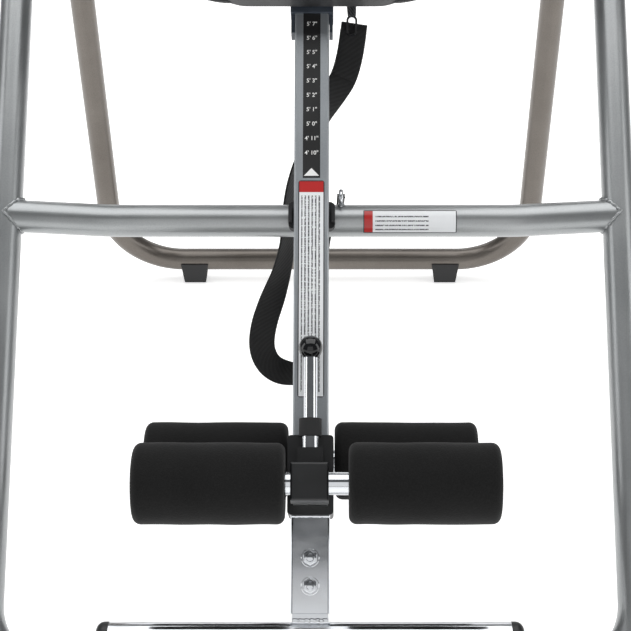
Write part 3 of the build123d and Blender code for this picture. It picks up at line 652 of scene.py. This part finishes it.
strip_ink = moulded("printed_black_vinyl", "#1a1a1b", "#131314", 0.38, 1.5, 0.05)
white_ink = moulded("white_screen_ink", "#f4f4f2", "#e6e6e4", 0.45, 1.5, 0.05)
strip = sticker("scale_strip", (-0.010, 0.010), (0.036, 0.300), 0.0005, 0.0001)
strip.data.transform(bed_place @ Matrix.Translation((0, 0, face_h)))
strip.data.materials.append(strip_ink)
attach(strip, "boom")
mark_gap, mark_low, mark_high = 0.0175, 0.0660, 0.0068
arrow_half, arrow_low, arrow_tip = 0.0088, 0.0385, 0.0478
heights = ["4' 10\"", "4' 11\"", "5' 0\"", "5' 1\"", "5' 2\"", "5' 3\"", "5' 4\"", "5' 5\"", "5' 6\"",
           "5' 7\"", "5' 8\"", "5' 9\"", "5' 10\""]
for number, words in enumerate(heights):
    bpy.ops.object.select_all(action="DESELECT")
    bpy.ops.object.text_add(location=(0, mark_low + mark_gap * number, 0))
    mark = bpy.context.object
    mark.name = f"scale_mark_{number + 1}"
    mark.data.body = words
    mark.data.size, mark.data.align_x, mark.data.align_y = mark_high, "CENTER", "CENTER"
    mark.data.resolution_u, mark.data.extrude, mark.data.offset = 3, 0.00003, 0.00008
    bpy.ops.object.convert(target="MESH")
    mark = bpy.context.object
    bpy.ops.object.transform_apply(location=True, rotation=True, scale=True)
    mark.data.transform(bed_place @ Matrix.Translation((0, 0, face_h + 0.00016)))
    mark.data.materials.clear()
    mark.data.materials.append(white_ink)
    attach(mark, "boom")
mesh = bpy.data.meshes.new("scale_arrow")
mesh.from_pydata([(-arrow_half, arrow_low, 0), (arrow_half, arrow_low, 0), (0, arrow_tip, 0)],
                 [], [(0, 1, 2)])
arrow = bpy.data.objects.new("scale_arrow", mesh)
bpy.context.scene.collection.objects.link(arrow)
wall = arrow.modifiers.new("film", "SOLIDIFY")
wall.thickness, wall.offset = 0.00006, 1.0
bpy.context.view_layer.objects.active = arrow
bpy.ops.object.modifier_apply(modifier="film")
arrow.data.transform(bed_place @ Matrix.Translation((0, 0, face_h + 0.00013)))
arrow.data.materials.append(white_ink)
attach(arrow, "boom")

# ---------------------------------------------------------------- boom notice
# A paper notice with a red head and a black rim, printed with columns of plain
# rules, under a clear film that gives it a soft gloss. It carries no words.
notice_x, notice_s = (-0.0150, 0.0150), (-0.219, 0.033)
notice_wide, notice_tall = 30.0, 252.0


def printed(name, wide, tall, head_from, across_head, rows, row_step, row_thick):
    """White film with a black rim, a red head past head_from mm and grey broken rules."""
    material, tree = blank(name)
    spot = node(tree, "UVMap", uv_map="print").outputs["UV"]
    parts = node(tree, "SeparateXYZ", {"Vector": spot})
    u, v = parts.outputs[0], parts.outputs[1]
    long_way, short_way = (u, v) if across_head else (v, u)
    cycle = node(tree, "Math", {0: short_way, 1: row_step}, operation="PINGPONG").outputs[0]
    ruled = node(tree, "Math", {0: cycle, 1: row_thick}, operation="LESS_THAN").outputs[0]
    band = node(tree, "Math", {0: short_way, 1: row_step * 2}, operation="SNAP").outputs[0]
    seed = node(tree, "CombineXYZ", {0: long_way, 1: band})
    words = node(tree, "TexNoise", {"Vector": seed.outputs[0], "Scale": 0.9, "Detail": 1.0})
    broken = node(tree, "Math", {0: words.outputs["Fac"], 1: 0.42}, operation="GREATER_THAN").outputs[0]
    ink = node(tree, "Math", {0: ruled, 1: broken}, operation="MULTIPLY").outputs[0]
    left, right, low, high = rows
    for value, limit, side in ((short_way, left, "GREATER_THAN"), (short_way, right, "LESS_THAN"),
                               (long_way, low, "GREATER_THAN"), (long_way, high, "LESS_THAN")):
        inside = node(tree, "Math", {0: value, 1: limit}, operation=side).outputs[0]
        ink = node(tree, "Math", {0: ink, 1: inside}, operation="MULTIPLY").outputs[0]
    sheet = node(tree, "Mix", {0: ink, 6: linear("#eef0f2"), 7: linear("#4c4d50")}, data_type="RGBA")
    test = "LESS_THAN" if across_head else "GREATER_THAN"
    head_on = node(tree, "Math", {0: long_way, 1: head_from}, operation=test).outputs[0]
    with_head = node(tree, "Mix", {0: head_on, 6: sheet.outputs[2], 7: linear("#b8201f")}, data_type="RGBA")
    rim_mm, rims = 1.2, []
    for value, full in ((u, wide), (v, tall)):
        off = node(tree, "Math", {0: value, 1: full / 2}, operation="SUBTRACT").outputs[0]
        size = node(tree, "Math", {0: off}, operation="ABSOLUTE").outputs[0]
        rims.append(node(tree, "Math", {0: size, 1: full / 2 - rim_mm}, operation="GREATER_THAN").outputs[0])
    rim = node(tree, "Math", {0: rims[0], 1: rims[1]}, operation="MAXIMUM").outputs[0]
    final = node(tree, "Mix", {0: rim, 6: with_head.outputs[2], 7: linear("#2c2c2f")}, data_type="RGBA")
    shader = node(tree, "BsdfPrincipled", {"Base Color": final.outputs[2], "Roughness": 0.35,
                                           "Coat Weight": 0.3})
    node(tree, "OutputMaterial", {"Surface": shader.outputs[0]})
    return material


notice_print = printed("printed_notice_film", notice_wide, notice_tall, 238.0, False, (3.5, 27.0, 6.0, 234.0),
                       2.0, 0.85)
notice = sticker("boom_notice", notice_x, notice_s, 0.003, 0.0001)
notice.data.transform(bed_place @ Matrix.Translation((0, 0, face_h)))
notice.data.materials.append(notice_print)
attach(notice, "boom")

# ---------------------------------------------------------------- crossbar notice
# A smaller film wrapped round the front of the crossbar, with a red end and a few
# plain rules across it.
tube_r, crossbar_y, crossbar_z = 0.019, -0.240, 0.449
tag_x, tag_angles = (0.060, 0.169), (-25.0, 63.0)
tag_tall = math.radians(tag_angles[1] - tag_angles[0]) * tube_r
tag_print = printed("printed_tag_film", (tag_x[1] - tag_x[0]) * 1000, tag_tall * 1000, 11.0, True,
                    (4.0, 25.0, 14.0, 76.0), 2.6, 0.8)
tag = sticker("crossbar_notice", tag_x, (0, tag_tall), 0.003, 0.0001, cells=24)
for vert in tag.data.vertices:
    a = math.radians(tag_angles[0]) + vert.co.y / tube_r
    r = tube_r + 0.00004 + vert.co.z
    vert.co = Vector((vert.co.x, crossbar_y - r * math.cos(a), crossbar_z + r * math.sin(a)))
tag.data.materials.append(tag_print)
bpy.ops.object.select_all(action="DESELECT")
tag.select_set(True)
bpy.context.view_layer.objects.active = tag
bpy.ops.object.mode_set(mode="EDIT")
bpy.ops.mesh.select_all(action="SELECT")
bpy.ops.mesh.normals_make_consistent(inside=False)
bpy.ops.object.mode_set(mode="OBJECT")
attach(tag, "front_frame")

# ---------------------------------------------------------------- footrest bolts
# Chromed M10 bolts through the post: a washer, a hexagon nut with chamfered
# corners, and the domed end of the bolt standing out of it.
washer_profile = [(0.0052, 0.0), (0.0098, 0.0), (0.0100, 0.0003), (0.0100, 0.0011), (0.0096, 0.0014),
                  (0.0052, 0.0014), (0.0052, 0.0)]
stud_profile = [(0.0, 0.0), (0.0048, 0.0), (0.0048, 0.0082), (0.0040, 0.0092), (0.0022, 0.0097),
                (0.0, 0.0098),
                (0.0, 0.0)]
nut_r, nut_high, nut_middle = 0.0085, 0.0060, 0.0044
for number, s in enumerate((-0.397, -0.4275)):
    bpy.ops.object.select_all(action="DESELECT")
    bpy.ops.mesh.primitive_cylinder_add(vertices=6, radius=nut_r, depth=nut_high, location=(0, 0, nut_middle))
    nut = bpy.context.object
    nut.name = f"foot_nut_{number + 1}"
    bpy.ops.object.transform_apply(location=True, rotation=True, scale=True)
    bpy.ops.object.mode_set(mode="EDIT")
    bpy.ops.mesh.select_all(action="SELECT")
    bpy.ops.mesh.bevel(offset=0.0009, segments=3, affect="EDGES")
    bpy.ops.object.mode_set(mode="OBJECT")
    bpy.ops.object.shade_smooth_by_angle(angle=math.radians(35))
    parts = [nut, lathe(f"foot_washer_{number + 1}", washer_profile, 40),
             lathe(f"foot_stud_{number + 1}", stud_profile, 32)]
    for part in parts:
        part.data.transform(bed_place @ Matrix.Translation((0, s, face_h)))
        part.data.materials.append(chrome)
        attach(part, "boom")
    if number == 0:
        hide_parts("foot_bolts")

# ---------------------------------------------------------------- weld beads
# Hand-laid weld beads where the crossbar meets each leg, and across each end of
# the footrest post, lumpy and painted or plated over with the parts they join.
leg_x, leg_lean = 0.3625, math.radians(50)
bar_y, bead_r, sunk = -0.224, 0.0026, 0.0004
slices = 36
for side in (-1, 1):
    bpy.ops.object.select_all(action="DESELECT")
    bpy.ops.mesh.primitive_torus_add(major_radius=tube_r, minor_radius=bead_r,
                                     major_segments=96, minor_segments=10)
    bead = bpy.context.object
    bead.name = "weld_right" if side > 0 else "weld_left"
    for vert in bead.data.vertices:
        a = math.atan2(vert.co.y, vert.co.x)
        lump = 1 + 0.22 * math.sin(a * 22) + 0.2 * noise.noise(Vector((math.cos(a) * 4,
                                                math.sin(a) * 4, side)))
        ring = Vector((math.cos(a), math.sin(a), 0)) * tube_r
        local = (vert.co - ring) * lump
        off = tube_r * (-math.sin(leg_lean) * math.cos(a) + math.cos(leg_lean) * math.sin(a))
        reach = math.sqrt(max(0.0, tube_r ** 2 - off ** 2))
        spot = ring + local
        vert.co = Vector((side * (leg_x - reach - sunk) + local.z * -side,
                          bar_y + spot.x, crossbar_z + spot.y))
    bpy.ops.object.mode_set(mode="EDIT")
    bpy.ops.mesh.select_all(action="SELECT")
    bpy.ops.mesh.normals_make_consistent(inside=False)
    bpy.ops.object.mode_set(mode="OBJECT")
    bpy.ops.object.shade_smooth()
    bead.data.materials.append(silver)
    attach(bead, "front_frame")
for name, s, h, long, thick in (("post_weld_low", -0.4650, 0.0090, 0.040, 0.0028),
                                ("post_weld_top", -0.3512, 0.0150, 0.042, 0.0018)):
    bpy.ops.object.select_all(action="DESELECT")
    bpy.ops.mesh.primitive_cylinder_add(vertices=12, radius=thick, depth=long, rotation=(0, math.pi / 2, 0))
    seam = bpy.context.object
    seam.name = name
    bpy.ops.object.transform_apply(location=True, rotation=True, scale=True)
    bpy.ops.object.mode_set(mode="EDIT")
    for cut in range(1 - slices // 2, slices // 2):
        bpy.ops.mesh.select_all(action="SELECT")
        bpy.ops.mesh.bisect(plane_co=(cut * long / slices, 0, 0), plane_no=(1, 0, 0))
    bpy.ops.object.mode_set(mode="OBJECT")
    for vert in seam.data.vertices:
        lump = (1 + 0.45 * noise.noise(Vector((vert.co.x * 500, 0, s * 90)))
                + 0.15 * math.sin(vert.co.x * 2600))
        vert.co.y *= lump
        vert.co.z *= lump
    bpy.ops.object.shade_smooth()
    seam.data.transform(bed_place @ Matrix.Translation((0, s, h)))
    seam.data.materials.append(chrome)
    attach(seam, "boom")
